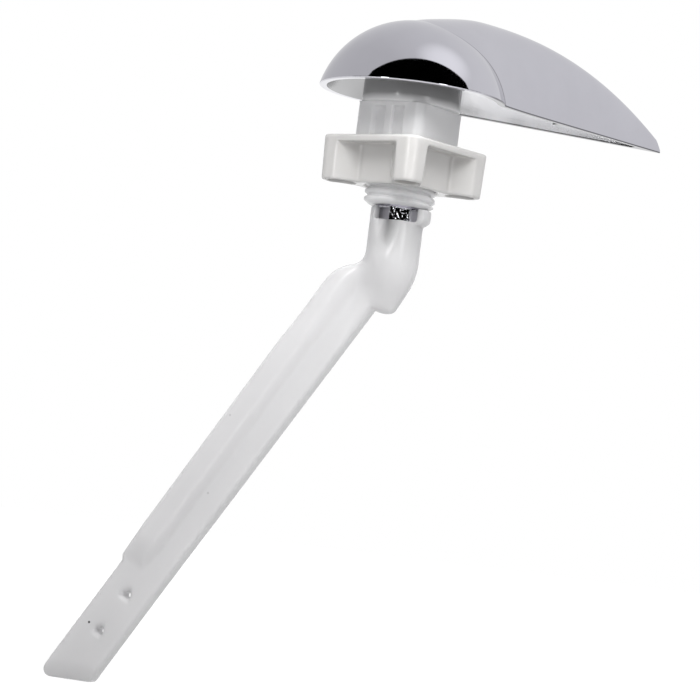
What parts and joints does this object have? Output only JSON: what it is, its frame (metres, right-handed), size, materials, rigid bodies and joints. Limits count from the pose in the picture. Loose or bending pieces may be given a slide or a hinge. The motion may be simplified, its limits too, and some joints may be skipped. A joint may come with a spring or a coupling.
{
  "type": "cistern lever",
  "caption": "Side-mount cistern lever: chromed dome handle with a curved leaf wing, white wall bushing with a square key, scooped mounting nut and a bent translucent trip arm.",
  "frame": {"origin": "where the spindle axis meets the outside of the tank wall, at the underside of the bushing's collar", "axes": "+Z along the spindle out of the tank to the handle, +X along the wing, -Z into the tank"},
  "size_m": [0.1126, 0.0808, 0.1564],
  "materials": {
    "chrome": "bright polished plating",
    "bushing_plastic": "satin white moulding",
    "nut_plastic": "gloss warm white moulding",
    "arm_plastic": "milky translucent moulding, smooth with faint flow marks"
  },
  "bodies": {
    "bushing": {"bushing": "bushing_plastic"},
    "lever": {"handle": "chrome", "trip_arm": "arm_plastic"},
    "nut": {"mounting_nut": "nut_plastic"}
  },
  "joints": [
    {"name": "lever_turn", "type": "hinge", "parent": "bushing", "child": "lever", "pos_m": [0, 0, 0], "axis": [0, 0, 1], "range_deg": [0, 45]},
    {"name": "nut_run", "type": "slide", "parent": "bushing", "child": "nut", "axis": [0, 0, -1], "range_m": [0, 0.004]}
  ]
}
